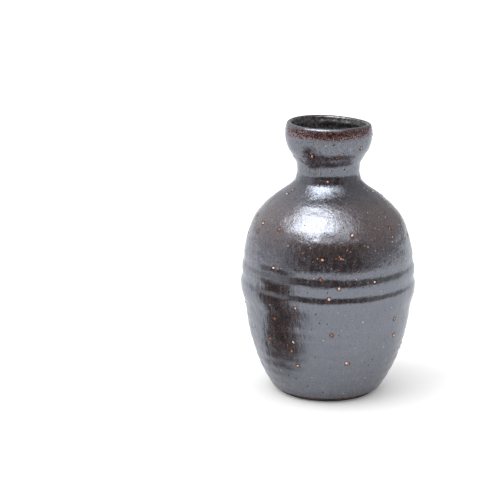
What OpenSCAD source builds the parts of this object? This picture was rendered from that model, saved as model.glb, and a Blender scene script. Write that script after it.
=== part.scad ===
// Round-bellied stoneware sake bottle with a pinched neck and an open, cup-shaped mouth.
// Thrown in one piece: the clay pot, its two coats of glaze and the grains of stone in its surface.
// +Z is up, and the origin is on the table, under the middle of the foot.

/* [Bottle] */
// Height from the table to the top of the lip
bottle_h = 141; // [120:1:165]
// Widest diameter, across the belly
belly_d = 90; // [80:1:100]
// Diameter of the foot where it meets the table
foot_d = 52; // [46:1:58]

/* [Neck and mouth] */
// Diameter at the narrowest point of the neck
neck_d = 31.6; // [29:0.2:36]
// Widest diameter of the mouth
mouth_d = 44; // [40:0.5:48]
// Diameter just under the lip
lip_d = 42.8; // [39:0.2:46]
// Thickness of the lip, which is fully rounded
lip_w = 2.8; // [2.2:0.2:3.4]
// Bore of the throat, inside the neck
throat_d = 22; // [18:0.5:22.5]
// Length of the straight bore in the throat
throat_len = 8; // [4:0.5:10]

/* [Wall and glaze] */
// Clay and glaze together, from the foot to the shoulder
wall = 5; // [4:0.25:6]
// Clay and glaze together in the middle of the floor
floor_t = 7; // [5:0.5:9]
// Thickness of each coat of glaze
glaze_t = 0.6; // [0.4:0.1:0.8]
// Height at which the outer coat of glaze starts
glaze_line = 1.8; // [1.2:0.2:6]

/* [Foot] */
// Width of the ring that the bottle stands on
foot_ring_w = 5; // [4:0.5:8]
// Depth of the shallow recess inside the foot ring
foot_recess = 1.2; // [0.6:0.2:2]

/* [Throwing grooves] */
// Depth of the two finger grooves round the belly
groove_depth = 0.5; // [0.2:0.1:1.2]
// Height of one groove, from edge to edge
groove_w = 7.6; // [6:0.2:8]

/* [Grit] */
// Number of pale feldspar grains
feldspar_count = 30; // [6:1:40]
// Diameter of the largest feldspar grain
feldspar_d = 1.7; // [1.2:0.1:2]
// Number of rusty iron grains
iron_count = 14; // [4:1:20]
// Diameter of the largest iron grain
iron_d = 2; // [1.4:0.1:2.2]

/* [Hidden] */
$fn = 72;

clay_colour = [0.36, 0.27, 0.21];
glaze_colour = [0.27, 0.26, 0.27];
liner_colour = [0.20, 0.20, 0.19];
feldspar_colour = [0.84, 0.79, 0.69];
iron_colour = [0.52, 0.27, 0.13];

// Rings that the side of the bottle passes through, each [radius, height]
foot_ring = [foot_d / 2, 0];
hip_ring = [0.47 * belly_d, 0.302 * bottle_h];
belly_ring = [belly_d / 2, 0.404 * bottle_h];
shoulder_ring = [0.411 * belly_d, 0.657 * bottle_h];
neck_ring = [neck_d / 2, 0.831 * bottle_h];
mouth_ring = [mouth_d / 2, 0.96 * bottle_h];
lip_ring = [lip_d / 2, bottle_h - lip_w / 2];

// How the side leaves each ring, downwards and upwards, each [outwards, upwards]
above_foot = [0.028, 0.017] * bottle_h;
below_hip = [-0.013, -0.141] * bottle_h;
above_hip = [0.005, 0.055] * bottle_h;
below_belly = [0, -0.041] * bottle_h;
above_belly = [0, 0.065] * bottle_h;
below_shoulder = [0.036, -0.048] * bottle_h;
above_shoulder = [-0.084, 0.112] * bottle_h;
below_neck = [0, -0.086] * bottle_h;
above_neck = [0, 0.049] * bottle_h;
below_mouth = [0, -0.072] * bottle_h;
above_mouth = [0, 0.014] * bottle_h;
below_lip = [0.004, -0.012] * bottle_h;

groove_heights = [0.427, 0.489] * bottle_h;
throat_r = throat_d / 2;
throat_low = neck_ring[1] - throat_len / 2;
throat_high = neck_ring[1] + throat_len / 2;
foot_round = 1;
lip_lean = 15;
inside_start = 0.085 * bottle_h;
golden_angle = 137.508;
pocket_gap = 0.02;

// Points of a cubic curve from a to d, drawn towards b and c, without its last point
function curve(a, b, c, d, steps) = [
    for (i = [0 : steps - 1])
        let (t = i / steps, u = 1 - t)
            u * u * u * a + 3 * u * u * t * b + 3 * u * t * t * c + t * t * t * d
];

// Smooth dip of one groove at a height
function dip(height, centre) =
    let (away = abs(height - centre) / (groove_w / 2))
        away < 1 ? groove_depth * pow(cos(90 * away), 2) : 0;

function grooved(p) = [p[0] - dip(p[1], groove_heights[0]) - dip(p[1], groove_heights[1]), p[1]];

// The outside of the bottle from the foot to the lip
plain_side = concat(
    curve(foot_ring, foot_ring + above_foot, hip_ring + below_hip, hip_ring, 12),
    curve(hip_ring, hip_ring + above_hip, belly_ring + below_belly, belly_ring, 5),
    curve(belly_ring, belly_ring + above_belly, shoulder_ring + below_shoulder, shoulder_ring, 20),
    curve(shoulder_ring, shoulder_ring + above_shoulder, neck_ring + below_neck, neck_ring, 12),
    curve(neck_ring, neck_ring + above_neck, mouth_ring + below_mouth, mouth_ring, 8),
    curve(mouth_ring, mouth_ring + above_mouth, lip_ring + below_lip, lip_ring, 5),
    [lip_ring]
);
side = [for (p = plain_side) grooved(p)];
last = len(side) - 1;

// Outward direction at one point of the side
function outward(i) =
    let (along = i == last ? [0, 1] : side[i + 1] - side[max(i - 1, 0)])
        [along[1], -along[0]] / norm(along);

// The side moved inward by a depth
function side_in(depth) = [for (i = [0 : last]) side[i] - depth * outward(i)];

// Full thickness of the wall at a height
function wall_at(height) = lookup(height, [
    [0, wall],
    [shoulder_ring[1], wall],
    [neck_ring[1], neck_ring[0] - throat_r],
    [lip_ring[1], lip_w]
]);

// The inside of the bottle from the edge of the floor to the lip, moved into the clay by a depth
function inside(depth) =
    let (raw = [for (i = [0 : last]) side[i] - (wall_at(side[i][1]) - depth) * outward(i)])
        concat(
            [for (p = raw) if (p[1] > inside_start && p[1] < throat_low && p[0] > throat_r + depth) p],
            [[throat_r + depth, throat_low], [throat_r + depth, throat_high]],
            [for (p = raw) if (p[1] > throat_high && p[0] > throat_r + depth) p]
        );

// The floor from its middle to where the inside of the wall starts
function floor_in(depth) =
    let (end = inside(depth)[0], level = floor_t - depth)
        concat(
            [[0, level]],
            curve([0.45 * end[0], level], [0.8 * end[0], level],
                [end[0] - 2, end[1] - 3], end, 6)
        );

// Part of the round lip between two angles, at a radius from the middle of its thickness
function lip_arc(r, from, to) = [
    for (a = [from : (to - from) / 5 : to]) lip_ring + [r * cos(a) - lip_w / 2, r * sin(a)]
];

// Radius of the outside at a height
function radius_at(height) = lookup(height, [for (p = side) [p[1], p[0]]]);

// One grain's place and size: [distance from the axis, height, angle, diameter]
function grain(i, count, size, low, high, turn, heights, sizes) =
    let (height = low + (high - low) * heights[i], d = size * (0.55 + 0.45 * sizes[i]))
        [radius_at(height) - 0.32 * d, height, turn + golden_angle * i, d];

function grains(count, size, low, high, turn, seed) =
    let (heights = rands(0, 1, count, seed), sizes = rands(0, 1, count, seed + 1))
        [for (i = [0 : count - 1]) grain(i, count, size, low, high, turn, heights, sizes)];

feldspar = grains(feldspar_count, feldspar_d, 0.1 * bottle_h, 0.95 * bottle_h, 20, 7);
iron = grains(iron_count, iron_d, 0.12 * bottle_h, 0.93 * bottle_h, 95, 21);

module grit(list, extra) {
    for (g = list)
        rotate([0, 0, g[2]])
            translate([g[0], 0, g[1]])
                sphere(d = g[3] + 2 * extra, $fn = 24);
}

module clay_body() {
    clay_side = side_in(glaze_t);
    foot_r = clay_side[0][0];
    ring_in = foot_r - foot_ring_w;
    base = [
        [0, foot_recess],
        [ring_in - foot_recess, foot_recess],
        [ring_in, 0],
        [foot_r - foot_round, 0],
        [foot_r, foot_round]
    ];
    glazed = [for (p = clay_side) if (p[1] > foot_round + 0.5 && p[1] < lip_ring[1]) p];
    inner = concat(floor_in(glaze_t), inside(glaze_t));
    color(clay_colour)
        difference() {
            rotate_extrude()
                polygon(concat(
                    base,
                    glazed,
                    lip_arc(lip_w / 2 - glaze_t, lip_lean, 180),
                    [for (i = [len(inner) - 2 : -1 : 0]) inner[i]]
                ));
            grit(feldspar, pocket_gap);
            grit(iron, pocket_gap);
        }
}

module inner_glaze() {
    face = concat(floor_in(0), inside(0));
    back = concat(floor_in(glaze_t), inside(glaze_t));
    color(liner_colour)
        rotate_extrude()
            polygon(concat(
                [for (i = [0 : len(face) - 2]) face[i]],
                lip_arc(lip_w / 2, 180, 90),
                lip_arc(lip_w / 2 - glaze_t, 90, 180),
                [for (i = [len(back) - 2 : -1 : 0]) back[i]]
            ));
}

module outer_glaze() {
    face = [for (p = side) if (p[1] > glaze_line && p[1] < lip_ring[1]) p];
    back = [for (p = side_in(glaze_t)) if (p[1] > glaze_line && p[1] < lip_ring[1]) p];
    color(glaze_colour)
        rotate_extrude()
            polygon(concat(
                face,
                lip_arc(lip_w / 2, lip_lean, 90),
                lip_arc(lip_w / 2 - glaze_t, 90, lip_lean),
                [for (i = [len(back) - 1 : -1 : 0]) back[i]]
            ));
}

module feldspar_grit() {
    color(feldspar_colour) grit(feldspar, 0);
}

module iron_grit() {
    color(iron_colour) grit(iron, 0);
}

clay_body();
inner_glaze();
outer_glaze();
feldspar_grit();
iron_grit();
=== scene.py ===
"""Sake bottle: a thrown stoneware pot with a gun-metal iron glaze, a glazed inside and gritty clay.

The pot is spun from one outline, pushed slightly out of true as a thrown pot is, and its grains of
stone are set into the finished glaze. All sizes are in metres.
"""
import math
import random

import bpy
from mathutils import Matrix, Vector, kdtree


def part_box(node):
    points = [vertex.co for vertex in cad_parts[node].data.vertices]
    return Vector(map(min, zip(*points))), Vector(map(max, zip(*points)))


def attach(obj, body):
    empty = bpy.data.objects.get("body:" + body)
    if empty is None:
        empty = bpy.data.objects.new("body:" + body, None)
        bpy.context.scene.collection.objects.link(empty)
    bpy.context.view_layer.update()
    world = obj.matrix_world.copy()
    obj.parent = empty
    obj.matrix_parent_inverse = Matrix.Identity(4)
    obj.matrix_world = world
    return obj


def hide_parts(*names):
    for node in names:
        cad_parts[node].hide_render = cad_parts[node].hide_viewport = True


bl_info = {
    "name": "Sake bottle",
    "version": (1, 0, 0),
    "blender": (4, 5, 0),
    "location": "View3D > Sidebar > Sake bottle",
    "description": "Builds a thrown and glazed sake bottle, its grit and a plain studio round it",
    "category": "Object",
}

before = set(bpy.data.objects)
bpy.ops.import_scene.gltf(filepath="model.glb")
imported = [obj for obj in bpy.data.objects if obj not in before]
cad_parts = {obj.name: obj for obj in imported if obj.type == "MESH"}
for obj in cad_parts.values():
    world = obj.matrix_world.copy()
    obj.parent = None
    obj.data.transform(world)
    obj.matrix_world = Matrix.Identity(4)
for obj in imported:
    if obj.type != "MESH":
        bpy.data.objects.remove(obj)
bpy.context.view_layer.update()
BODY = "bottle"
MM = 0.001

COAT_LOW, COAT_HIGH = (Vector(corner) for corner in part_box("outer_glaze"))

# How finely an outline is turned and stepped: outside, inside and out of sight
ROUND_STEPS = 288
OUTLINE_STEP = 0.75 * MM
LINER_STEP = 0.8 * MM
HIDDEN_STEP = 2.5 * MM

# Angle in degrees at which the side runs into the round lip
LIP_LEAN = 15
# The two grooves, each (share of the height, reach above, reach below, share of the depth)
GROOVES = ((0.495, 4.2 * MM, 2.9 * MM, 1.0), (0.434, 4.6 * MM, 3.3 * MM, 1.55))
# The bead inside the lip, each (how far under its middle, thickness as a share of the lip's width)
LIP_BEAD = ((4.6 * MM, 1.30), (1.8 * MM, 1.46), (0.8 * MM, 1.36), (0, 1))

# How far the hand pushed the pot: its slow wander, and the dip and the lean of its lip
DIP_TURN = math.radians(40)
LIP_DIP = 1.0 * MM
LIP_LEANED = 0.6 * MM
WANDER_X = 0.35 * MM
WANDER_Y = 0.3 * MM
WANDER_Z = 0.4 * MM

# Where the grains fall: picked out of many numbers, so that a few grains sit where they are wanted
PALE_SEED = 57849
RUSTY_SEED = 471621
# The turns and sizes of their chips: any numbers would do
PALE_CHIP_SEED = 3
RUSTY_CHIP_SEED = 4

# How strongly each glaze shines, and in what colour
DARK_IOR = 2.6
DARK_SHINE = (0.75, 0.85, 1.0, 1.0)
LINER_IOR = 2.4
LINER_SHINE = (0.96, 0.94, 1.0, 1.0)

# What the gloss sees of the room: front, then left and right at the sides and at the back
ROOM_FRONT = 0.04
ROOM_SIDES = (0.67, 0.37)
ROOM_BACK = (1.0, 0.45)
# How bright the world is for the shadows
WORLD_LIGHT = 1.32


# --- Settings ---

def length(name, default, description):
    """A length that a user may change."""
    return bpy.props.FloatProperty(
        name=name, description=description, default=default, min=0.0, precision=5, unit="LENGTH"
    )


def colour(name, default, description):
    """A colour that a user may change."""
    return bpy.props.FloatVectorProperty(
        name=name, description=description, default=default, min=0.0, max=1.0, size=3,
        subtype="COLOR",
    )


class BottleShape(bpy.types.PropertyGroup):
    """Sizes of the pot."""

    height: length("Height", COAT_HIGH.z, "Table to the top of the lip")
    belly: length("Belly", 90 * MM, "Widest diameter, across the belly")
    foot: length("Foot", 52 * MM, "Diameter of the foot on the table")
    neck: length("Neck", 31.6 * MM, "Narrowest diameter of the neck")
    mouth: length("Mouth", 44 * MM, "Widest diameter of the mouth")
    lip: length("Lip", 42.8 * MM, "Diameter just under the lip")
    lip_width: length("Lip width", 2.8 * MM, "Thickness of the rounded lip")
    throat: length("Throat", 22 * MM, "Bore of the neck")
    throat_length: length("Throat length", 8 * MM, "Straight stretch of the bore")
    wall: length("Wall", 5 * MM, "Clay and glaze from foot to shoulder")
    floor: length("Floor", 7 * MM, "Clay and glaze in the middle of the floor")
    coat: length("Coat", 0.6 * MM, "Thickness of each coat of glaze")
    glaze_line: length("Glaze line", COAT_LOW.z, "Height at which the outer glaze starts")
    foot_ring: length("Foot ring", 5 * MM, "Width of the ring that the pot stands on")
    foot_recess: length("Foot recess", 1.2 * MM, "Depth of the trimmed recess under the pot")
    groove_depth: length("Groove depth", 0.46 * MM, "Depth of the two finger grooves")
    ring_depth: length("Throwing rings", 0.09 * MM, "Depth of the faint rings left by the fingers")
    lumps: length("Lumps", 0.55 * MM, "Unevenness of the pot's surface")
    skin: length("Skin", 0.50 * MM, "Unevenness of the glaze itself")


class BottleColours(bpy.types.PropertyGroup):
    """Colours of the finishes."""

    iron_brown: colour("Iron brown", (0.020, 0.011, 0.010), "Glass of the outer glaze")
    glass_brown: colour("Glass brown", (0.042, 0.024, 0.021), "The same glass in paler streaks")
    bloom_brown: colour("Bloom brown", (0.088, 0.052, 0.040), "The same glass, clouded on the shoulder")
    maroon: colour("Maroon", (0.026, 0.008, 0.006), "Glaze burnt dark at the lip")
    rust_brown: colour("Rust brown", (0.115, 0.040, 0.028), "Glaze where it is thin or rusty")
    ember: colour("Ember", (0.42, 0.19, 0.11), "Tiny burnt specks")
    soot: colour("Soot", (0.008, 0.005, 0.005), "Tiny dark specks")
    liner: colour("Liner", (0.026, 0.025, 0.023), "Glaze inside the pot")
    liner_cloud: colour("Liner cloud", (0.085, 0.074, 0.066), "Paler clouds in the glaze inside")
    clay: colour("Clay", (0.052, 0.031, 0.022), "Bare fired clay")
    feldspar: colour("Feldspar", (0.66, 0.55, 0.48), "Pale grains")
    iron_grain: colour("Iron grain", (0.36, 0.14, 0.07), "Rusty grains")
    table: colour("Table", (0.90, 0.90, 0.90), "Floor of the studio")


class BottleGrit(bpy.types.PropertyGroup):
    """Grains of stone in the clay."""

    feldspar_count: bpy.props.IntProperty(
        name="Feldspar grains", description="Number of pale grains", default=50, min=4, max=200
    )
    iron_count: bpy.props.IntProperty(
        name="Iron grains", description="Number of rusty grains", default=36, min=4, max=200
    )
    feldspar_size: length("Feldspar size", 1.6 * MM, "Widest pale grain")
    iron_size: length("Iron size", 1.6 * MM, "Widest rusty grain")
    halo: length("Halo", 1.9 * MM, "Reach of the rust that bleeds round a grain")


class StudioSettings(bpy.types.PropertyGroup):
    """Camera and light."""

    camera_distance: length("Camera distance", 0.823, "Level distance from the bottle to the camera")
    camera_height: length("Camera height", 0.294, "Height of the camera")
    camera_tilt: bpy.props.FloatProperty(
        name="Tilt", description="How far the camera looks down", default=math.radians(15.0),
        subtype="ANGLE",
    )
    camera_turn: bpy.props.FloatProperty(
        name="Turn", description="How far the camera turns away to the left",
        default=math.radians(2.79), subtype="ANGLE",
    )
    lens: bpy.props.FloatProperty(
        name="Lens", description="Focal length in millimetres", default=118.8, min=10.0
    )


# --- Outline of the pot ---

def cubic(a, b, c, d, steps=40):
    """Points of a cubic curve from a to d, pulled towards b and c, without the last one."""
    points = []
    for i in range(steps):
        t = i / steps
        u = 1 - t
        points.append(a * u ** 3 + b * 3 * u * u * t + c * 3 * u * t * t + d * t ** 3)
    return points


def evenly(points, spacing):
    """The same line with its points about a spacing apart, ends kept."""
    lengths = [0.0]
    for p, q in zip(points, points[1:]):
        lengths.append(lengths[-1] + (q - p).length)
    count = max(1, round(lengths[-1] / spacing))
    result = []
    i = 0
    for k in range(count):
        target = lengths[-1] * k / count
        while lengths[i + 1] < target:
            i += 1
        part = (target - lengths[i]) / (lengths[i + 1] - lengths[i])
        result.append(points[i].lerp(points[i + 1], part))
    result.append(points[-1].copy())
    return result


def rings(shape):
    """The rings that the side passes through, from the foot up, each [radius, height]."""
    h = shape.height
    return {
        "foot": Vector((shape.foot / 2, 0)),
        "hip": Vector((0.47 * shape.belly, 0.302 * h)),
        "belly": Vector((shape.belly / 2, 0.404 * h)),
        "shoulder": Vector((0.411 * shape.belly, 0.657 * h)),
        "neck": Vector((shape.neck / 2, 0.831 * h)),
        "mouth": Vector((shape.mouth / 2, 0.96 * h)),
        "lip": Vector((shape.lip / 2, h - shape.lip_width / 2)),
    }


# How the side leaves a ring and reaches the next one, as shares of the height
STRETCHES = (
    ("foot", (0.028, 0.017), (-0.013, -0.141), "hip"),
    ("hip", (0.005, 0.055), (0, -0.041), "belly"),
    ("belly", (0, 0.065), (0.036, -0.048), "shoulder"),
    ("shoulder", (-0.084, 0.112), (0, -0.086), "neck"),
    ("neck", (0, 0.049), (0, -0.072), "mouth"),
    ("mouth", (0, 0.014), (0.004, -0.012), "lip"),
)


def plain_side(shape):
    """The outside of the pot from the foot to the lip as [radius, height], before the grooves."""
    ring = rings(shape)
    points = []
    for low, leave, reach, high in STRETCHES:
        a, d = ring[low], ring[high]
        points += cubic(a, a + Vector(leave) * shape.height, d + Vector(reach) * shape.height, d)
    return points + [ring["lip"]]


def groove(height, centre, above, below):
    """Depth, from 0 to 1, of a groove with a long upper wall and a short lower one."""
    away = height - centre
    reach = above if away > 0 else below
    if abs(away) >= reach:
        return 0.0
    return math.cos(math.pi / 2 * away / reach) ** 2


def finger_rings(height, shape):
    """Depth of the faint rings that the fingers leave, which come and go up the pot."""
    pitch, swelling, drifting = 5.2 * MM, 17 * MM, 9 * MM
    swell = 0.5 + 0.5 * math.sin(height / swelling + 0.8)
    drift = math.sin(height / drifting)
    return shape.ring_depth * swell * math.sin(2 * math.pi * height / pitch + drift)


def thrown(point, shape):
    """A point of the plain side with the grooves and the finger rings pressed in."""
    r, z = point
    h = shape.height
    depth = 0.0
    for share, above, below, press in GROOVES:
        depth += press * groove(z, share * h, above, below)
    dent = shape.groove_depth * depth
    below_lip = min(1.0, max(0.0, (h - 6 * MM - z) / (10 * MM)))
    above_foot = min(1.0, max(0.0, z / (8 * MM)))
    fade = below_lip * above_foot
    return Vector((r - dent - fade * finger_rings(z, shape), z))


def outward(line, i):
    """Outward direction of a line at one of its points, going up the outside."""
    along = line[min(i + 1, len(line) - 1)] - line[max(i - 1, 0)]
    return Vector((along.y, -along.x)).normalized()


def side_line(shape, depth, step):
    """The outside moved inward by a depth, from the foot to the lip."""
    line = [thrown(p, shape) for p in evenly(plain_side(shape), OUTLINE_STEP)]
    moved = [p - outward(line, i) * depth for i, p in enumerate(line[:-1])]
    moved.append(line[-1] - Vector((depth, 0)))
    return evenly(moved, step)


def blend(x, stops):
    """A value between stops, each (place, value)."""
    for (a, va), (b, vb) in zip(stops, stops[1:]):
        if x <= b:
            return va + (vb - va) * max(0.0, (x - a) / (b - a))
    return stops[-1][1]


def inside_line(shape, depth, step):
    """The inside from the middle of the floor to the lip, moved into the clay by a depth."""
    h = shape.height
    ring = rings(shape)
    bore = shape.throat / 2 + depth
    low = ring["neck"].y - shape.throat_length / 2
    high = ring["neck"].y + shape.throat_length / 2
    stops = [
        (0, shape.wall), (ring["shoulder"].y, shape.wall),
        (ring["neck"].y, (shape.neck - shape.throat) / 2),
    ]
    stops += [(ring["lip"].y - under, thick * shape.lip_width) for under, thick in LIP_BEAD]
    line = evenly(plain_side(shape), OUTLINE_STEP)
    raw = [
        p - outward(line, i) * (blend(p.y, stops) - depth) for i, p in enumerate(line[:-1])
    ]
    raw.append(line[-1] - Vector((shape.lip_width - depth, 0)))
    lower = [p for p in raw if 0.085 * h < p.y < low and p.x > bore]
    upper = [p for p in raw if p.y > high and p.x > bore]
    end = lower[0]
    level = shape.floor - depth
    floor_edge = cubic(
        Vector((0.45 * end.x, level)), Vector((0.8 * end.x, level)),
        end - Vector((2 * MM, 3 * MM)), end, 12,
    )
    wall = lower + [Vector((bore, low)), Vector((bore, high))] + upper
    return evenly([Vector((0, level))] + floor_edge + wall, step)


def lip_arc(shape, radius, start, end, steps):
    """Part of the round lip, from one angle to another in degrees, ends included."""
    middle = Vector((shape.lip / 2 - shape.lip_width / 2, shape.height - shape.lip_width / 2))
    points = []
    for i in range(steps + 1):
        a = math.radians(start + (end - start) * i / steps)
        points.append(middle + Vector((math.cos(a), math.sin(a))) * radius)
    return points


# --- Mesh work ---

def deselect():
    """Nothing selected, and object mode."""
    if bpy.context.object and bpy.context.object.mode != "OBJECT":
        bpy.ops.object.mode_set(mode="OBJECT")
    bpy.ops.object.select_all(action="DESELECT")


def select_only(obj):
    """One object selected and active."""
    deselect()
    obj.select_set(True)
    bpy.context.view_layer.objects.active = obj


def spun(name, outline, closed):
    """A solid turned round the bottle's axis from an outline of [radius, height] points."""
    deselect()
    bpy.ops.mesh.primitive_circle_add(vertices=3, radius=MM, location=(0, 0, 0))
    piece = bpy.context.object
    piece.name = name
    bpy.ops.object.mode_set(mode="EDIT")
    bpy.ops.mesh.select_all(action="SELECT")
    bpy.ops.mesh.merge(type="CENTER")
    bpy.ops.transform.translate(value=(outline[0].x, 0, outline[0].y))
    for a, b in zip(outline, outline[1:]):
        bpy.ops.mesh.extrude_region_move(
            TRANSFORM_OT_translate={"value": (b.x - a.x, 0, b.y - a.y)}
        )
    if closed:
        bpy.ops.object.mode_set(mode="OBJECT")
        last = len(piece.data.vertices) - 1
        for vertex in piece.data.vertices:
            vertex.select = vertex.index in (0, last)
        bpy.ops.object.mode_set(mode="EDIT")
        bpy.ops.mesh.edge_face_add()
    bpy.ops.mesh.select_all(action="SELECT")
    bpy.ops.mesh.spin(
        steps=ROUND_STEPS, angle=2 * math.pi, center=(0, 0, 0), axis=(0, 0, 1), use_auto_merge=False
    )
    bpy.ops.mesh.select_all(action="SELECT")
    bpy.ops.mesh.remove_doubles(threshold=0.002 * MM)
    bpy.ops.mesh.normals_make_consistent(inside=False)
    bpy.ops.object.mode_set(mode="OBJECT")
    return piece


def weigh(piece, name, rule):
    """A vertex group whose weights come from a rule of each vertex's place."""
    group = piece.vertex_groups.new(name=name)
    for vertex in piece.data.vertices:
        weight = rule(vertex.co)
        if weight > 0:
            group.add([vertex.index], min(1.0, weight), "REPLACE")


def roughen(piece, name, grain, depth, group="", detail=2):
    """Uneven relief over a piece, in lumps of one grain size, pressed in and out along the surface."""
    texture = bpy.data.textures.new(name, "CLOUDS")
    texture.noise_scale = grain
    texture.noise_depth = detail
    relief = piece.modifiers.new(name, "DISPLACE")
    relief.texture = texture
    relief.texture_coords = "LOCAL"
    relief.strength = depth
    relief.mid_level = 0.5
    relief.vertex_group = group
    select_only(piece)
    bpy.ops.object.modifier_apply(modifier=name)


def hand_pull(point, shape):
    """How far the potter's hand pushed the pot out of true at one place."""
    h = shape.height
    x, y, z = point
    across = shape.mouth / 2
    top = max(0.0, (z - 0.86 * h) / (0.14 * h)) ** 2
    toward_dip = max(0.0, (x * math.cos(DIP_TURN) + y * math.sin(DIP_TURN)) / across)
    dip = toward_dip ** 2 * top
    tilt = (0.25 * y - 0.1 * x) / across * MM * top
    sideways = WANDER_X * math.sin(z / (31 * MM))
    forward = WANDER_Y * math.sin(z / (24 * MM) + 1.0)
    level = WANDER_Z * math.sin(2 * math.atan2(y, x) + 0.7) * math.sin(math.pi * z / h)
    leaned = LIP_LEANED * max(0.0, -y / across) * top
    return Vector((
        sideways + 0.5 * MM * dip,
        forward + leaned,
        tilt - LIP_DIP * dip + level,
    ))


def push_out_of_true(piece, shape):
    """Bends a finished piece as the whole pot is bent, with one lattice round the pot."""
    h = shape.height
    width = 1.3 * shape.belly
    deselect()
    bpy.ops.object.add(type="LATTICE", location=(0, 0, h / 2))
    cage = bpy.context.object
    cage.scale = (width, width, 1.1 * h)
    cage.data.points_u = 7
    cage.data.points_v = 7
    cage.data.points_w = 13
    bpy.context.view_layer.update()
    for point in cage.data.points:
        place = cage.matrix_world @ point.co
        moved = place + hand_pull(place, shape)
        point.co_deform = cage.matrix_world.inverted() @ moved
    bend = piece.modifiers.new("Hand", "LATTICE")
    bend.object = cage
    select_only(piece)
    bpy.ops.object.modifier_apply(modifier="Hand")
    bpy.data.objects.remove(cage, do_unlink=True)


def smooth(piece, angle=50):
    """Smooth shading, with edges sharper than an angle kept."""
    select_only(piece)
    bpy.ops.object.shade_smooth_by_angle(angle=math.radians(angle))
    deselect()


def hand_over(piece, node, material):
    """Gives a finished piece its material and its place on the bottle, and hides the CAD node it stands
    for.
    """
    piece.data.materials.clear()
    piece.data.materials.append(material)
    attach(piece, BODY)
    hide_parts(node)


# --- Material tools ---

class Board:
    """A node tree with short ways to add and join nodes."""

    def __init__(self, tree):
        self.tree = tree

    def add(self, kind, links=None, **values):
        """Adds a node. Values set its own settings, and links fill its inputs by name or number."""
        node = self.tree.nodes.new(kind)
        for key, value in values.items():
            setattr(node, key, value)
        for key, value in (links or {}).items():
            if isinstance(value, bpy.types.NodeSocket):
                self.tree.links.new(value, node.inputs[key])
            else:
                node.inputs[key].default_value = value
        return node

    def maths(self, operation, a, b=0.0, c=0.0):
        """One sum of two or three values."""
        return self.add("ShaderNodeMath", {0: a, 1: b, 2: c}, operation=operation).outputs[0]

    def ramp(self, value, low, high, to_low=0.0, to_high=1.0):
        """A value moved smoothly from one range to another, and kept inside it."""
        node = self.add(
            "ShaderNodeMapRange",
            {"Value": value, "From Min": low, "From Max": high, "To Min": to_low, "To Max": to_high},
            interpolation_type="SMOOTHSTEP", clamp=True,
        )
        return node.outputs["Result"]

    def mix(self, factor, a, b):
        """One colour laid over another."""
        node = self.add("ShaderNodeMix", data_type="RGBA")
        for socket, value in ((node.inputs[0], factor), (node.inputs[6], a), (node.inputs[7], b)):
            if isinstance(value, bpy.types.NodeSocket):
                self.tree.links.new(value, socket)
            else:
                socket.default_value = value
        return node.outputs[2]

    def noise(self, vector, scale, detail=3.0, roughness=0.55):
        """Soft cloudy noise from 0 to 1."""
        node = self.add(
            "ShaderNodeTexNoise",
            {"Vector": vector, "Scale": scale, "Detail": detail, "Roughness": roughness},
        )
        return node.outputs["Fac"]

    def stretched(self, vector, scale):
        """Coordinates stretched along their axes."""
        return self.add("ShaderNodeMapping", {"Vector": vector, "Scale": scale}).outputs[0]


def new_group(name, inputs, outputs):
    """An empty shader node group with named sockets, each (name, type, default)."""
    tree = bpy.data.node_groups.new(name, "ShaderNodeTree")
    for label, kind, default in inputs:
        socket = tree.interface.new_socket(label, in_out="INPUT", socket_type=kind)
        if default is not None:
            socket.default_value = default
    for label, kind in outputs:
        tree.interface.new_socket(label, in_out="OUTPUT", socket_type=kind)
    board = Board(tree)
    return tree, board, board.add("NodeGroupInput"), board.add("NodeGroupOutput")


def specks_group():
    """Scattered round specks: a cell pattern in which only some cells hold a speck."""
    tree, board, given, out = new_group(
        "Specks",
        [("Vector", "NodeSocketVector", None), ("Scale", "NodeSocketFloat", 400.0),
         ("Size", "NodeSocketFloat", 0.2), ("Share", "NodeSocketFloat", 0.3)],
        [("Mask", "NodeSocketFloat")],
    )
    cells = board.add(
        "ShaderNodeTexVoronoi",
        {"Vector": given.outputs["Vector"], "Scale": given.outputs["Scale"], "Randomness": 1.0},
    )
    chance = board.add("ShaderNodeSeparateColor", {"Color": cells.outputs["Color"]})
    size = board.maths(
        "MULTIPLY", given.outputs["Size"],
        board.maths("MULTIPLY_ADD", chance.outputs["Green"], 0.7, 0.3),
    )
    inner = board.maths("MULTIPLY", size, 0.45)
    dot = board.ramp(cells.outputs["Distance"], size, inner)
    chosen = board.maths("LESS_THAN", chance.outputs["Red"], given.outputs["Share"])
    tree.links.new(board.maths("MULTIPLY", dot, chosen), out.inputs["Mask"])


def skin_group():
    """The skin of a fired glaze: orange peel, fine grain and pinholes, as a height and a mask."""
    tree, board, given, out = new_group(
        "Fired skin",
        [("Vector", "NodeSocketVector", None), ("Peel", "NodeSocketFloat", 0.5),
         ("Grain", "NodeSocketFloat", 0.3), ("Pinholes", "NodeSocketFloat", 0.25)],
        [("Height", "NodeSocketFloat"), ("Pits", "NodeSocketFloat")],
    )
    where = given.outputs["Vector"]
    peel = board.noise(where, 820.0, 4.0, 0.65)
    peel = board.maths("MULTIPLY_ADD", board.noise(where, 360.0, 2.0), 2.0, peel)
    grain = board.noise(where, 2000.0, 2.0, 0.6)
    pits = board.add("ShaderNodeGroup", node_tree=bpy.data.node_groups["Specks"])
    tree.links.new(where, pits.inputs["Vector"])
    pits.inputs["Scale"].default_value = 520.0
    pits.inputs["Size"].default_value = 0.30
    tree.links.new(given.outputs["Pinholes"], pits.inputs["Share"])
    height = board.maths("MULTIPLY", peel, given.outputs["Peel"])
    height = board.maths("MULTIPLY_ADD", grain, given.outputs["Grain"], height)
    height = board.maths("MULTIPLY_ADD", pits.outputs["Mask"], -1.6, height)
    tree.links.new(height, out.inputs["Height"])
    tree.links.new(pits.outputs["Mask"], out.inputs["Pits"])


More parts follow.
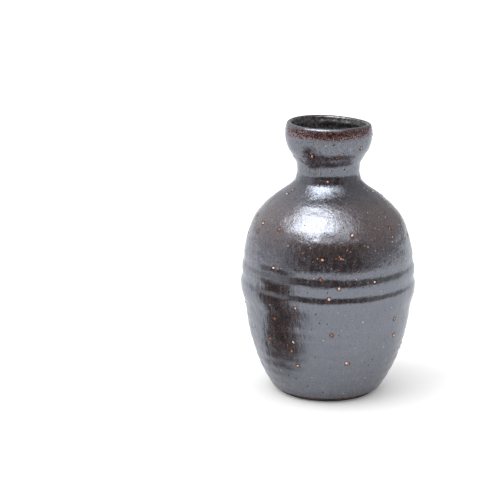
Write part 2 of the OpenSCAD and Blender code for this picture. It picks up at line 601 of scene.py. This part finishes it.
def drift_group():
    """Slow changes over the pot: clouds of kiln bloom and thin streaks that ran down it."""
    tree, board, given, out = new_group(
        "Kiln drift",
        [("Vector", "NodeSocketVector", None), ("Cloud scale", "NodeSocketFloat", 45.0),
         ("Streak scale", "NodeSocketFloat", 700.0)],
        [("Clouds", "NodeSocketFloat"), ("Streaks", "NodeSocketFloat")],
    )
    where = given.outputs["Vector"]
    clouds = board.noise(where, given.outputs["Cloud scale"], 4.0, 0.6)
    tall = board.stretched(where, (1.0, 1.0, 0.12))
    streaks = board.noise(tall, given.outputs["Streak scale"], 3.0, 0.6)
    tree.links.new(clouds, out.inputs["Clouds"])
    tree.links.new(streaks, out.inputs["Streaks"])


def build_groups():
    """The effects that several finishes share."""
    if "Specks" not in bpy.data.node_groups:
        specks_group()
        skin_group()
        drift_group()


def new_material(name):
    """An empty material with a Principled shader, its board and its coordinates."""
    build_groups()
    material = bpy.data.materials.new(name)
    material.use_nodes = True
    material.node_tree.nodes.clear()
    board = Board(material.node_tree)
    shader = board.add("ShaderNodeBsdfPrincipled")
    board.add("ShaderNodeOutputMaterial", {"Surface": shader.outputs["BSDF"]})
    place = board.add("ShaderNodeTexCoord").outputs["Object"]
    return material, board, shader, place


def group(board, name, place, **values):
    """A shared effect with this finish's own values. An underscore in a name stands for a space."""
    node = board.add("ShaderNodeGroup", {}, node_tree=bpy.data.node_groups[name])
    board.tree.links.new(place, node.inputs["Vector"])
    for key, value in values.items():
        node.inputs[key.replace("_", " ")].default_value = value
    return node.outputs


def opaque(rgb):
    """A colour with full strength."""
    return (rgb[0], rgb[1], rgb[2], 1.0)


def relief(board, shader, height, distance):
    """Joins a height to a shader's normal."""
    bump = board.add("ShaderNodeBump", {"Height": height, "Distance": distance, "Strength": 1.0})
    board.tree.links.new(bump.outputs["Normal"], shader.inputs["Normal"])


def gunmetal_glaze(colours, shape):
    """Outer glaze: brown iron glass with a steel-blue shine, rusty near the lip and round grains, with
    painted shade just above the foot.
    """
    material, board, shader, place = new_material("Gunmetal glaze")
    drift = group(board, "Kiln drift", place, Cloud_scale=40.0, Streak_scale=620.0)
    skin = group(board, "Fired skin", place, Peel=1.0, Grain=0.35, Pinholes=0.20)
    pepper = group(board, "Specks", place, Scale=520.0, Size=0.28, Share=0.20)
    salt = group(board, "Specks", place, Scale=560.0, Size=0.20, Share=0.10)
    embers = group(board, "Specks", place, Scale=560.0, Size=0.32, Share=0.34)
    height = board.add("ShaderNodeSeparateXYZ", {"Vector": place}).outputs["Z"]
    halo = board.add("ShaderNodeAttribute", attribute_name="halo").outputs["Fac"]

    lip_band = board.ramp(height, shape.height - 7.6 * MM, shape.height - 4.4 * MM)
    rim_top = board.ramp(height, shape.height - 1.9 * MM, shape.height - 0.9 * MM)
    lip_band = board.maths("MULTIPLY_ADD", rim_top, -0.75, lip_band)
    chest = board.ramp(height, 0.46 * shape.height, 0.52 * shape.height)
    shoulder = board.maths(
        "MULTIPLY", board.ramp(height, 0.55 * shape.height, 0.66 * shape.height),
        board.ramp(height, 0.76 * shape.height, 0.70 * shape.height),
    )
    mottle = board.noise(place, 900.0, 4.0, 0.65)
    freckle = board.ramp(board.noise(place, 1900.0, 2.0, 0.6), 0.38, 0.60)
    streaks = board.ramp(drift["Streaks"], 0.40, 0.70)
    worn = board.maths("MULTIPLY_ADD", drift["Clouds"], 0.5, mottle)
    worn = board.maths("MULTIPLY_ADD", chest, 0.06, worn)
    worn = board.ramp(worn, 0.90, 1.08)
    edge = board.maths("MULTIPLY_ADD", freckle, 0.3, board.maths("MULTIPLY_ADD", mottle, 0.7, lip_band))
    burnt = board.ramp(edge, 0.75, 1.30)
    ragged = board.maths("MULTIPLY_ADD", mottle, 1.1, board.maths("SUBTRACT", halo, 0.62))
    rim = board.ramp(ragged, 0.08, 0.36)
    rust = board.maths("MAXIMUM", worn, rim)
    below_shoulder = board.ramp(height, 0.72 * shape.height, 0.60 * shape.height)
    where_specks = board.maths("MULTIPLY", board.maths("MULTIPLY", chest, below_shoulder), 0.9)
    where_specks = board.maths("MULTIPLY", where_specks, board.ramp(drift["Clouds"], 0.38, 0.54))
    where_specks = board.maths("ADD", where_specks, board.maths("MULTIPLY_ADD", lip_band, 0.35, 0.10))
    specks = board.maths("MULTIPLY", embers["Mask"], where_specks)

    glass = board.mix(streaks, opaque(colours.iron_brown), opaque(colours.glass_brown))
    cloudy = board.maths("MULTIPLY", shoulder, board.ramp(mottle, 0.25, 0.65))
    glass = board.mix(cloudy, glass, opaque(colours.bloom_brown))
    burn = board.mix(freckle, opaque(colours.maroon), opaque(colours.rust_brown))
    glass = board.mix(board.maths("MULTIPLY", rust, freckle), glass, opaque(colours.rust_brown))
    glass = board.mix(burnt, glass, burn)
    glass = board.mix(specks, glass, opaque(colours.ember))
    glass = board.mix(pepper["Mask"], glass, opaque(colours.soot))
    glass = board.mix(salt["Mask"], glass, opaque(colours.feldspar))
    board.tree.links.new(glass, shader.inputs["Base Color"])

    pitted = board.maths("SUBTRACT", 1.0, freckle)
    # Painted shade: the glaze is made duller, and so darker, over the last few millimetres above the
    # foot.
    painted_foot_shade = board.ramp(height, 8 * MM, 2 * MM)
    burn_and_foot_shade = board.maths("MULTIPLY_ADD", chest, 0.15, 0.30)
    burn_and_foot_shade = board.maths("MULTIPLY_ADD", burnt, 0.70, burn_and_foot_shade)
    burn_and_foot_shade = board.maths("MULTIPLY_ADD", painted_foot_shade, 0.35, burn_and_foot_shade)
    dull = board.maths("MULTIPLY", pitted, burn_and_foot_shade)
    dull = board.maths("MULTIPLY_ADD", rust, 0.5, dull)
    dull = board.maths("MAXIMUM", dull, pepper["Mask"])
    dull = board.maths("SUBTRACT", dull, board.maths("ADD", salt["Mask"], specks))
    board.tree.links.new(board.ramp(dull, 0.0, 1.0), shader.inputs["Metallic"])
    rough = board.maths("MULTIPLY_ADD", mottle, 0.20, 0.11)
    rough = board.maths("MULTIPLY_ADD", streaks, 0.06, rough)
    rough = board.maths("MULTIPLY_ADD", rust, 0.08, rough)
    board.tree.links.new(rough, shader.inputs["Roughness"])
    shader.inputs["IOR"].default_value = DARK_IOR
    shader.inputs["Specular Tint"].default_value = DARK_SHINE
    bumps = board.maths("MULTIPLY_ADD", streaks, -0.6, skin["Height"])
    relief(board, shader, bumps, 0.06 * MM)
    return material


def liner_glaze(colours):
    """Inner glaze: dark and glossy, with paler clouds, duller patches and fine pinholes."""
    material, board, shader, place = new_material("Liner glaze")
    drift = group(board, "Kiln drift", place, Cloud_scale=60.0, Streak_scale=500.0)
    skin = group(board, "Fired skin", place, Peel=0.6, Grain=0.3, Pinholes=0.2)
    clouds = board.ramp(board.noise(place, 420.0, 4.0, 0.7), 0.48, 0.66)
    base = board.mix(clouds, opaque(colours.liner), opaque(colours.liner_cloud))
    board.tree.links.new(base, shader.inputs["Base Color"])
    rough = board.maths("MULTIPLY_ADD", drift["Clouds"], 0.15, 0.24)
    board.tree.links.new(rough, shader.inputs["Roughness"])
    dull = board.ramp(board.noise(place, 700.0, 3.0, 0.7), 0.62, 0.42, 0.0, 0.7)
    board.tree.links.new(dull, shader.inputs["Metallic"])
    shader.inputs["IOR"].default_value = LINER_IOR
    shader.inputs["Specular Tint"].default_value = LINER_SHINE
    relief(board, shader, skin["Height"], 0.13 * MM)
    return material


def bare_clay(colours):
    """Bare fired clay: warm brown, matt and gritty, toasted darker in places."""
    material, board, shader, place = new_material("Bare clay")
    drift = group(board, "Kiln drift", place, Cloud_scale=70.0, Streak_scale=500.0)
    skin = group(board, "Fired skin", place, Peel=0.7, Grain=1.0, Pinholes=0.45)
    grit = group(board, "Specks", place, Scale=420.0, Size=0.26, Share=0.2)
    toasted = board.ramp(drift["Clouds"], 0.38, 0.64)
    dark = tuple(0.5 * c for c in colours.clay)
    base = board.mix(toasted, opaque(colours.clay), opaque(dark))
    base = board.mix(board.maths("MULTIPLY", grit["Mask"], 0.6), base, opaque(colours.feldspar))
    # Painted shade: the pinholes are coloured darker than the clay round them.
    base = board.mix(skin["Pits"], base, opaque(tuple(0.3 * c for c in colours.clay)))
    board.tree.links.new(base, shader.inputs["Base Color"])
    rough = board.maths("MULTIPLY_ADD", drift["Clouds"], 0.2, 0.70)
    board.tree.links.new(rough, shader.inputs["Roughness"])
    relief(board, shader, skin["Height"], 0.22 * MM)
    return material


def grain_stone(name, tint, dirt, shine):
    """A half-melted grain: its own tint, dirtier in patches."""
    material, board, shader, place = new_material(name)
    drift = group(board, "Kiln drift", place, Cloud_scale=1100.0, Streak_scale=1500.0)
    stained = board.ramp(drift["Clouds"], 0.46, 0.60)
    base = board.mix(stained, opaque(tint), opaque(dirt))
    board.tree.links.new(base, shader.inputs["Base Color"])
    rough = board.maths("MULTIPLY_ADD", drift["Clouds"], 0.3, shine)
    board.tree.links.new(rough, shader.inputs["Roughness"])
    relief(board, shader, drift["Clouds"], 0.05 * MM)
    return material


def table_top(colours):
    """Plain pale floor, very faintly mottled."""
    material, board, shader, place = new_material("Table")
    tone = board.noise(place, 900.0, 2.0)
    pale = board.mix(tone, opaque(colours.table), opaque(tuple(0.97 * c for c in colours.table)))
    board.tree.links.new(pale, shader.inputs["Base Color"])
    shader.inputs["Roughness"].default_value = 0.7
    shader.inputs["Specular IOR Level"].default_value = 0.0
    return material


# --- Pieces ---

def foot_outline(shape, foot_edge):
    """The underside from its middle to the foot's outer edge, with the trimming tool's rings."""
    ring_in = foot_edge - shape.foot_ring
    pitch, depth, steps = 2.3 * MM, 0.12 * MM, 36
    points = []
    for i in range(steps):
        r = (ring_in - shape.foot_recess) * i / steps
        ripple = depth * math.sin(2 * math.pi * r / pitch) * min(1.0, r / (4 * MM))
        points.append(Vector((r, shape.foot_recess + ripple)))
    points.append(Vector((ring_in - shape.foot_recess, shape.foot_recess)))
    points += cubic(
        Vector((ring_in - 0.7 * shape.foot_recess, 0.75 * shape.foot_recess)),
        Vector((ring_in - 0.3 * shape.foot_recess, 0.1 * shape.foot_recess)),
        Vector((ring_in, 0)), Vector((ring_in + 0.6 * MM, 0)), 6,
    )
    points += evenly([Vector((ring_in + 0.6 * MM, 0)), Vector((foot_edge - MM, 0))], 0.7 * MM)
    return points


def build_clay_pot(shape, colours):
    """The fired clay: foot, floor, belly, neck and lip."""
    side = side_line(shape, shape.coat, HIDDEN_STEP / 2)
    foot_edge = side[0].x
    corner = cubic(
        Vector((foot_edge - MM, 0)), Vector((foot_edge - 0.4 * MM, 0)),
        Vector((foot_edge, 0.4 * MM)), Vector((foot_edge + 0.4 * MM, 1.2 * MM)), 8,
    )
    above = [p for p in side if 1.3 * MM < p.y < shape.height - shape.lip_width / 2]
    arc = lip_arc(shape, shape.lip_width / 2 - shape.coat, LIP_LEAN, 180, 8)
    inside = inside_line(shape, shape.coat, HIDDEN_STEP)
    inside.reverse()
    outline = foot_outline(shape, foot_edge)[:-1] + corner + above + arc + inside[1:]
    pot = spun("clay_pot", outline, False)
    bare = 12 * MM
    weigh(pot, "low", lambda co: 1.0 - co.z / bare if 0.05 * MM < co.z < bare else 0.0)
    roughen(pot, "Grit", grain=1.6 * MM, depth=0.16 * MM, group="low", detail=3)
    push_out_of_true(pot, shape)
    smooth(pot)
    hand_over(pot, "clay_body", bare_clay(colours))


def build_inner_coat(shape, colours):
    """The glaze inside the pot, from the lip down over the floor."""
    face = inside_line(shape, 0.0, LINER_STEP)
    back = inside_line(shape, shape.coat, HIDDEN_STEP)
    back.reverse()
    half = shape.lip_width / 2
    outline = (
        face[:-1] + lip_arc(shape, half, 180, 90, 8)
        + lip_arc(shape, half - shape.coat, 90, 180, 4) + back[1:]
    )
    coat = spun("inner_coat", outline, False)
    middle = (shape.lip - shape.lip_width) / 2

    def on_face(co):
        """Weight on the wetted face under the lip."""
        r = math.hypot(co.x, co.y)
        return min(1.0, (shape.height - co.z) / (8 * MM)) if r < middle else 0.0

    weigh(coat, "face", on_face)
    roughen(coat, "Skin", grain=3.6 * MM, depth=0.5 * MM, group="face")
    push_out_of_true(coat, shape)
    smooth(coat)
    hand_over(coat, "inner_glaze", liner_glaze(colours))


def build_outer_coat(shape, colours):
    """The dark glaze from just above the foot to the lip."""
    lip_height = shape.height - shape.lip_width / 2
    face = [
        p for p in side_line(shape, 0.0, OUTLINE_STEP) if shape.glaze_line < p.y < lip_height - 0.2 * MM
    ]
    back = [
        p for p in side_line(shape, shape.coat, HIDDEN_STEP)
        if shape.glaze_line + 0.6 * MM < p.y < lip_height - 0.2 * MM
    ]
    back.reverse()
    half = shape.lip_width / 2
    outline = (
        face + lip_arc(shape, half, LIP_LEAN, 90, 6)
        + lip_arc(shape, half - shape.coat, 90, LIP_LEAN, 3) + back
    )
    coat = spun("outer_coat", outline, True)
    weight = face_weight(face, shape)
    weigh(coat, "face", weight)
    weigh(coat, "leathery", lambda co: weight(co) * leathery(co, shape))
    roughen(coat, "Lumps", grain=16 * MM, depth=shape.lumps, group="face", detail=1)
    roughen(coat, "Skin", grain=4.5 * MM, depth=shape.skin, group="leathery")
    push_out_of_true(coat, shape)
    smooth(coat)
    hand_over(coat, "outer_glaze", gunmetal_glaze(colours, shape))


def leathery(co, shape):
    """How uneven the glaze is at one place: most where it ran thick, low on the left of the pot."""
    leftward = max(0.0, -co.x / math.hypot(co.x, co.y))
    return 0.5 + 0.5 * leftward * min(1.0, 2 * max(0.0, 0.75 - co.z / shape.height))


def face_weight(face, shape):
    """A rule that weighs the visible face of the coat, fading to nothing at both its edges."""
    heights = [p.y for p in face]
    radii = [p.x for p in face]

    def rule(co):
        """Weight of one vertex."""
        r = math.hypot(co.x, co.y)
        if co.z < heights[0] or co.z > heights[-1]:
            return 0.0
        i = min(range(len(heights)), key=lambda k: abs(heights[k] - co.z))
        on_face = r > radii[i] - 0.3 * shape.coat
        edge = min(1.0, (heights[-1] - co.z) / (6 * MM), 0.15 + (co.z - heights[0]) / (8 * MM))
        return edge if on_face else 0.0

    cache = {}

    def cached(co):
        """The rule, worked out once for each ring of vertices."""
        key = (round(co.z * 1e6), round(math.hypot(co.x, co.y) * 1e6))
        if key not in cache:
            cache[key] = rule(co)
        return cache[key]

    return cached


def grain_places(coat, count, seed, shape):
    """Places for grains, scattered at random over the finished glaze, as (point, normal)."""
    rng = random.Random(seed)
    h = shape.height
    places = []
    for _ in range(count):
        z = h * (0.05 + 0.91 * rng.random())
        turn = 2 * math.pi * rng.random()
        away = Vector((math.cos(turn), math.sin(turn), 0))
        start = Vector((0, 0, z)) + away * shape.belly
        hit, point, normal, _ = coat.ray_cast(start, -away)
        if hit:
            places.append((point.copy(), normal.copy()))
    return places


def build_grains(name, places, size, flatness, seed):
    """Chips of stone, each sunk in the glaze at its own turn and size, as one piece."""
    rng = random.Random(seed)
    chips = []
    for i, (point, normal) in enumerate(places):
        deselect()
        bpy.ops.mesh.primitive_ico_sphere_add(subdivisions=3, radius=0.5 * size)
        chip = bpy.context.object
        chip.name = f"{name}_{i}"
        long, wide = 0.55 + 0.45 * rng.random(), 0.45 + 0.4 * rng.random()
        bpy.ops.transform.resize(value=(long, wide, flatness))
        bpy.ops.object.transform_apply(location=False, rotation=False, scale=True)
        roughen(chip, "Chip", grain=0.5 * size, depth=0.35 * size)
        turn = normal.to_track_quat("Z", "Y").to_matrix().to_4x4()
        chip.matrix_world = turn
        chip.location = point - normal * 0.06 * size
        chip.rotation_euler.rotate_axis("Z", 2 * math.pi * rng.random())
        bpy.ops.object.transform_apply(location=True, rotation=True, scale=True)
        chips.append(chip)
    deselect()
    for chip in chips:
        chip.select_set(True)
    bpy.context.view_layer.objects.active = chips[0]
    bpy.ops.object.join()
    grains = bpy.context.object
    grains.name = name
    smooth(grains, 70)
    return grains


def paint_halos(coat, places, reach):
    """Marks how close each point of the glaze is to a grain."""
    tree = kdtree.KDTree(len(places))
    for i, (point, _) in enumerate(places):
        tree.insert(point, i)
    tree.balance()
    halo = coat.data.attributes.new("halo", "FLOAT", "POINT")
    for vertex in coat.data.vertices:
        _, _, away = tree.find(vertex.co)
        halo.data[vertex.index].value = max(0.0, 1.0 - away / reach)


# --- Operators ---

class SAKE_OT_clay_pot(bpy.types.Operator):
    """Builds the fired clay pot with its trimmed foot"""

    bl_idname = "sake.clay_pot"
    bl_label = "Clay pot"
    bl_options = {"REGISTER", "UNDO"}

    def execute(self, context):
        build_clay_pot(context.scene.sake_shape, context.scene.sake_colours)
        return {"FINISHED"}


class SAKE_OT_inner_coat(bpy.types.Operator):
    """Builds the glaze inside the pot"""

    bl_idname = "sake.inner_coat"
    bl_label = "Inner coat"
    bl_options = {"REGISTER", "UNDO"}

    def execute(self, context):
        build_inner_coat(context.scene.sake_shape, context.scene.sake_colours)
        return {"FINISHED"}


class SAKE_OT_outer_coat(bpy.types.Operator):
    """Builds the dark glaze on the outside"""

    bl_idname = "sake.outer_coat"
    bl_label = "Outer coat"
    bl_options = {"REGISTER", "UNDO"}

    def execute(self, context):
        build_outer_coat(context.scene.sake_shape, context.scene.sake_colours)
        return {"FINISHED"}


class SAKE_OT_grit(bpy.types.Operator):
    """Sets the pale and the rusty grains into the outer coat"""

    bl_idname = "sake.grit"
    bl_label = "Grit"
    bl_options = {"REGISTER", "UNDO"}

    def execute(self, context):
        scene = context.scene
        coat = bpy.data.objects.get("outer_coat")
        if coat is None:
            raise RuntimeError("The outer coat comes first: the grains are set into it")
        grit, colours = scene.sake_grit, scene.sake_colours
        pale = grain_places(coat, grit.feldspar_count, PALE_SEED, scene.sake_shape)
        rusty = grain_places(coat, grit.iron_count, RUSTY_SEED, scene.sake_shape)
        feldspar = build_grains("feldspar_grains", pale, grit.feldspar_size, 0.55, PALE_CHIP_SEED)
        hand_over(
            feldspar, "feldspar_grit",
            grain_stone("Feldspar", colours.feldspar, colours.iron_grain, 0.2),
        )
        iron = build_grains("iron_grains", rusty, grit.iron_size, 0.4, RUSTY_CHIP_SEED)
        hand_over(
            iron, "iron_grit",
            grain_stone("Iron grain", colours.iron_grain, colours.iron_brown, 0.35),
        )
        paint_halos(coat, pale + rusty, grit.halo)
        return {"FINISHED"}


class SAKE_OT_studio(bpy.types.Operator):
    """Builds the floor, the soft lights and the camera"""

    bl_idname = "sake.studio"
    bl_label = "Studio"
    bl_options = {"REGISTER", "UNDO"}

    def execute(self, context):
        build_floor(context.scene.sake_colours)
        build_lights()
        build_flag()
        build_world(context.scene)
        build_camera(context.scene)
        return {"FINISHED"}


def build_floor(colours):
    """A wide, plain floor that ends 1.2 m in front of the bottle."""
    deselect()
    bpy.ops.mesh.primitive_plane_add(size=12, location=(0, 4.8, -0.05 * MM))
    floor = bpy.context.object
    floor.name = "studio_floor"
    floor.data.materials.append(table_top(colours))


def softbox(name, place, width, depth, power):
    """A large soft light at a place, aimed at the belly, that only the gloss sees."""
    deselect()
    bpy.ops.object.light_add(type="AREA", location=place)
    lamp = bpy.context.object
    lamp.name = name
    lamp.data.shape = "RECTANGLE"
    lamp.data.size = width
    lamp.data.size_y = depth
    lamp.data.energy = power
    lamp.visible_diffuse = False
    aim_at(lamp, place, (0, 0, 0.09))


def aim_at(thing, place, aim):
    """Turns a light or a camera to look at a point."""
    look = Vector(aim) - Vector(place)
    thing.rotation_euler = look.to_track_quat("-Z", "Y").to_euler()


def build_lights():
    """Two large soft lights over the front for the gloss, and a soft key for the pale shadow."""
    softbox("softbox", place=(-0.37, -0.37, 1.03), width=0.86, depth=0.87, power=12.9)
    softbox("skirt", place=(0.06, -0.52, 0.98), width=1.0, depth=0.95, power=5.0)
    deselect()
    place = (-0.75, -0.28, 0.80)
    bpy.ops.object.light_add(type="SUN", location=place)
    key = bpy.context.object
    key.name = "key"
    key.data.energy = 1.3
    key.data.angle = math.radians(60)
    key.visible_glossy = False
    aim_at(key, place, (0, 0, 0))


def black_felt_and_shade(name):
    """A black finish, its board and its shader, still without an outline: black cloth for the flag,
    painted shade for the floor.
    """
    material, board, shader, place = new_material(name)
    shader.inputs["Base Color"].default_value = (0.03, 0.015, 0.012, 1.0)
    shader.inputs["Roughness"].default_value = 0.9
    return material, board, shader, place


def only_for_gloss(thing):
    """Lets nothing but the gloss see a thing of the studio."""
    thing.visible_camera = False
    thing.visible_diffuse = False
    thing.visible_shadow = False
    thing.visible_transmission = False


def build_flag():
    """A dark flag with soft edges beside the bottle, as small as a cup, and a dark disc of painted
    shade on the floor.
    """
    tall = 60 * MM
    deselect()
    bpy.ops.mesh.primitive_cone_add(
        vertices=64, radius1=33 * MM, radius2=40 * MM, depth=tall, location=(-0.084, -0.052, tall / 2),
    )
    flag = bpy.context.object
    flag.name = "studio_flag"
    material, board, shader, place = black_felt_and_shade("Black felt")
    facing = board.add("ShaderNodeLayerWeight", {"Blend": 0.5}).outputs["Facing"]
    level = board.add("ShaderNodeSeparateXYZ", {"Vector": place}).outputs["Z"]
    low = board.ramp(level, -tall / 2, -0.012)
    soft = board.maths("MULTIPLY", board.ramp(facing, 0.85, 0.25, 0.0, 0.87), low)
    board.tree.links.new(soft, shader.inputs["Alpha"])
    flag.data.materials.append(material)
    only_for_gloss(flag)

    # Painted shade: a dark disc, seen only by the gloss, stands for the shadow on the floor between the
    # bottle and the flag.
    deselect()
    bpy.ops.mesh.primitive_circle_add(
        vertices=64, radius=58 * MM, fill_type="NGON", location=(-0.076, -0.050, 0.5 * MM)
    )
    shade = bpy.context.object
    shade.name = "studio_flag_shade"
    material, board, shader, place = black_felt_and_shade("Shade")
    away = board.add("ShaderNodeVectorMath", {0: place}, operation="LENGTH").outputs["Value"]
    board.tree.links.new(board.ramp(away, 0.058, 0.030, 0.0, 0.9), shader.inputs["Alpha"])
    shade.data.materials.append(material)
    only_for_gloss(shade)


def build_world(scene):
    """White all round, but the gloss sees a dark room in front and a paler one elsewhere."""
    world = bpy.data.worlds.new("Studio")
    scene.world = world
    world.cycles.sampling_method = "NONE"
    world.use_nodes = True
    world.node_tree.nodes.clear()
    board = Board(world.node_tree)
    way = board.add("ShaderNodeTexCoord").outputs["Generated"]
    axes = board.add("ShaderNodeSeparateXYZ", {"Vector": way}).outputs
    side = board.ramp(axes["X"], -0.4, 0.4, *ROOM_SIDES)
    behind = board.ramp(axes["X"], -0.6, 0.6, *ROOM_BACK)
    back = board.ramp(axes["Y"], -0.1, 0.8)
    room = board.maths("MULTIPLY_ADD", back, board.maths("SUBTRACT", behind, side), side)
    front = board.ramp(axes["Y"], -0.78, -0.38)
    room = board.maths("MULTIPLY_ADD", front, board.maths("SUBTRACT", room, ROOM_FRONT), ROOM_FRONT)
    gloss = board.add("ShaderNodeBackground", {"Strength": room})
    pale = board.add("ShaderNodeBackground", {"Strength": WORLD_LIGHT})
    seen = board.add("ShaderNodeBackground")
    for background in (gloss, pale, seen):
        background.inputs["Color"].default_value = (1, 1, 1, 1)
    path = board.add("ShaderNodeLightPath").outputs
    lit = board.add(
        "ShaderNodeMixShader", {0: path["Is Diffuse Ray"], 1: gloss.outputs[0], 2: pale.outputs[0]}
    )
    both = board.add(
        "ShaderNodeMixShader", {0: path["Is Camera Ray"], 1: lit.outputs[0], 2: seen.outputs[0]}
    )
    board.add("ShaderNodeOutputWorld", {"Surface": both.outputs[0]})


def build_camera(scene):
    """The camera, level with the shoulder and looking slightly down."""
    studio = scene.sake_studio
    deselect()
    bpy.ops.object.camera_add(
        location=(0, -studio.camera_distance, studio.camera_height),
        rotation=(math.pi / 2 - studio.camera_tilt, 0, studio.camera_turn),
    )
    camera = bpy.context.object
    camera.data.sensor_width = 36
    camera.data.lens = studio.lens
    scene.camera = camera
    scene.view_settings.view_transform = "Standard"


class SAKE_PT_panel(bpy.types.Panel):
    """Lists the bottle's sizes and the steps that build it"""

    bl_label = "Sake bottle"
    bl_idname = "SAKE_PT_panel"
    bl_space_type = "VIEW_3D"
    bl_region_type = "UI"
    bl_category = "Sake bottle"

    def draw(self, context):
        scene = context.scene
        for settings in (scene.sake_shape, scene.sake_colours, scene.sake_grit, scene.sake_studio):
            box = self.layout.box()
            for name in settings.bl_rna.properties.keys():
                if name not in ("rna_type", "name"):
                    box.prop(settings, name)
        for operator in OPERATORS:
            self.layout.operator(operator.bl_idname)


OPERATORS = (
    SAKE_OT_clay_pot, SAKE_OT_inner_coat, SAKE_OT_outer_coat, SAKE_OT_grit, SAKE_OT_studio,
)
SETTINGS = {
    "sake_shape": BottleShape,
    "sake_colours": BottleColours,
    "sake_grit": BottleGrit,
    "sake_studio": StudioSettings,
}


def register():
    """Makes the settings, the operators and the panel known."""
    for name, settings in SETTINGS.items():
        bpy.utils.register_class(settings)
        setattr(bpy.types.Scene, name, bpy.props.PointerProperty(type=settings))
    for operator in OPERATORS:
        bpy.utils.register_class(operator)
    bpy.utils.register_class(SAKE_PT_panel)


def unregister():
    """Takes them away again."""
    bpy.utils.unregister_class(SAKE_PT_panel)
    for operator in reversed(OPERATORS):
        bpy.utils.unregister_class(operator)
    for name, settings in reversed(SETTINGS.items()):
        delattr(bpy.types.Scene, name)
        bpy.utils.unregister_class(settings)


def main():
    """Builds everything in order."""
    register()
    bpy.ops.sake.clay_pot()
    bpy.ops.sake.inner_coat()
    bpy.ops.sake.outer_coat()
    bpy.ops.sake.grit()
    bpy.ops.sake.studio()


if __name__ == "__main__":
    main()
